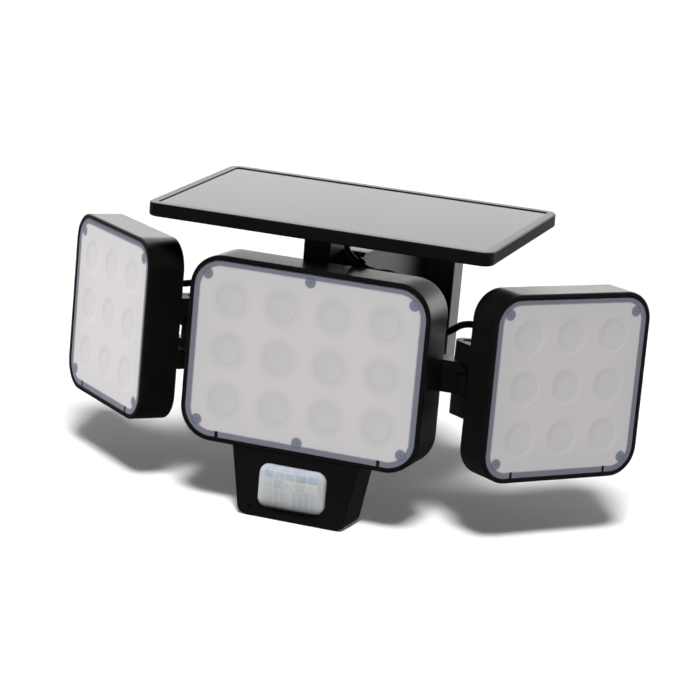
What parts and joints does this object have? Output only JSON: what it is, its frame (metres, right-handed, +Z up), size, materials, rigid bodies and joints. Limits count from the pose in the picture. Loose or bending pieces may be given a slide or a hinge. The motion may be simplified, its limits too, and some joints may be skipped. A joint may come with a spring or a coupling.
{
  "type": "solar flood light",
  "caption": "Wall-mounted solar flood light: a wide lamp head with a motion sensor below, a swivelling square head at each side and a tilting solar panel above, on an arm from a wall box.",
  "frame": {"origin": "centre of the wall box's back face, where it lies on the wall", "axes": "+Y into the wall, +X to the right of a person who faces the light, +Z up"},
  "size_m": [0.3283, 0.1706, 0.1667],
  "materials": {
    "black_plastic": "satin black moulded plastic",
    "frosted_lens": "frosted polycarbonate",
    "white_reflector": "smooth white",
    "led_board": "white solder mask",
    "led_package": "phosphor",
    "circuit_board": "green solder mask",
    "chips": "moulded epoxy",
    "sensor_window": "milky polyethylene",
    "sensor_can": "plated",
    "photo_cell": "dark epoxy",
    "seal_rubber": "soft",
    "screw_steel": "zinc plated",
    "dark_steel": "black zinc",
    "battery_wrap": "shrink wrap",
    "button_rubber": "soft touch",
    "panel_glass": "low-iron",
    "silicon": "anti-reflection coated",
    "backsheet": "black laminate",
    "cable_black": "matt jacket"
  },
  "bodies": {
    "bracket": {"wall_plate": "black_plastic", "wall_base": "black_plastic", "arm": "black_plastic", "arm_screws": "screw_steel", "panel_cable": "cable_black"},
    "panel": {"panel_frame": "black_plastic", "panel_glass": "panel_glass", "solar_cells": "silicon", "panel_backsheet": "backsheet", "panel_post": "black_plastic", "panel_screws": "screw_steel", "panel_bolt": "dark_steel", "panel_nut": "dark_steel"},
    "head": {"main_housing": "black_plastic", "main_back_cover": "black_plastic", "battery_tray": "black_plastic", "sensor_housing": "black_plastic", "sensor_back": "black_plastic", "main_lens": "frosted_lens", "main_reflector": "white_reflector", "main_led_board": "led_board", "main_leds": "led_package", "main_cover_gasket": "seal_rubber", "main_cover_screws": "screw_steel", "sensor_screws": "screw_steel", "battery_cells": "battery_wrap", "control_board": "circuit_board", "sensor_board": "circuit_board", "control_parts": "chips", "sensor_lens": "sensor_window", "pyro_sensor": "sensor_can", "light_sensor": "photo_cell", "tilt_bolt": "dark_steel", "tilt_nut": "dark_steel", "left_cable": "cable_black", "right_cable": "cable_black", "panel_cable_lower": "cable_black"},
    "mode_button": {"mode_button": "button_rubber"},
    "right_head": {"right_housing": "black_plastic", "right_back_cover": "black_plastic", "right_lens": "frosted_lens", "right_reflector": "white_reflector", "right_led_board": "led_board", "right_leds": "led_package", "right_cover_gasket": "seal_rubber", "right_cover_screws": "screw_steel", "right_swivel_bolt": "dark_steel", "right_swivel_nut": "dark_steel"},
    "left_head": {"left_housing": "black_plastic", "left_back_cover": "black_plastic", "left_lens": "frosted_lens", "left_reflector": "white_reflector", "left_led_board": "led_board", "left_leds": "led_package", "left_cover_gasket": "seal_rubber", "left_cover_screws": "screw_steel", "left_swivel_bolt": "dark_steel", "left_swivel_nut": "dark_steel"}
  },
  "joints": [
    {"name": "head_tilt", "type": "hinge", "parent": "bracket", "child": "head", "pos_m": [0, -0.122, -0.001], "axis": [1, 0, 0], "range_deg": [0, 15], "deforming": ["panel_cable_lower"]},
    {"name": "panel_tilt", "type": "hinge", "parent": "bracket", "child": "panel", "pos_m": [0, -0.117, 0.0275], "axis": [1, 0, 0], "range_deg": [-14, 0], "deforming": ["panel_cable"]},
    {"name": "right_head_swivel", "type": "hinge", "parent": "head", "child": "right_head", "pos_m": [0.0789, -0.1328, -0.015], "axis": [0, 0, 1], "range_deg": [-53.1, 26.9], "deforming": ["right_cable"]},
    {"name": "left_head_swivel", "type": "hinge", "parent": "head", "child": "left_head", "pos_m": [-0.0789, -0.1328, -0.015], "axis": [0, 0, -1], "range_deg": [-40.6, 39.4], "deforming": ["left_cable"]},
    {"name": "mode_button_press", "type": "slide", "parent": "head", "child": "mode_button", "axis": [0, -1, 0], "range_m": [0, 0.0008], "stiffness_N_per_m": 400, "springref_m": -0.001}
  ]
}
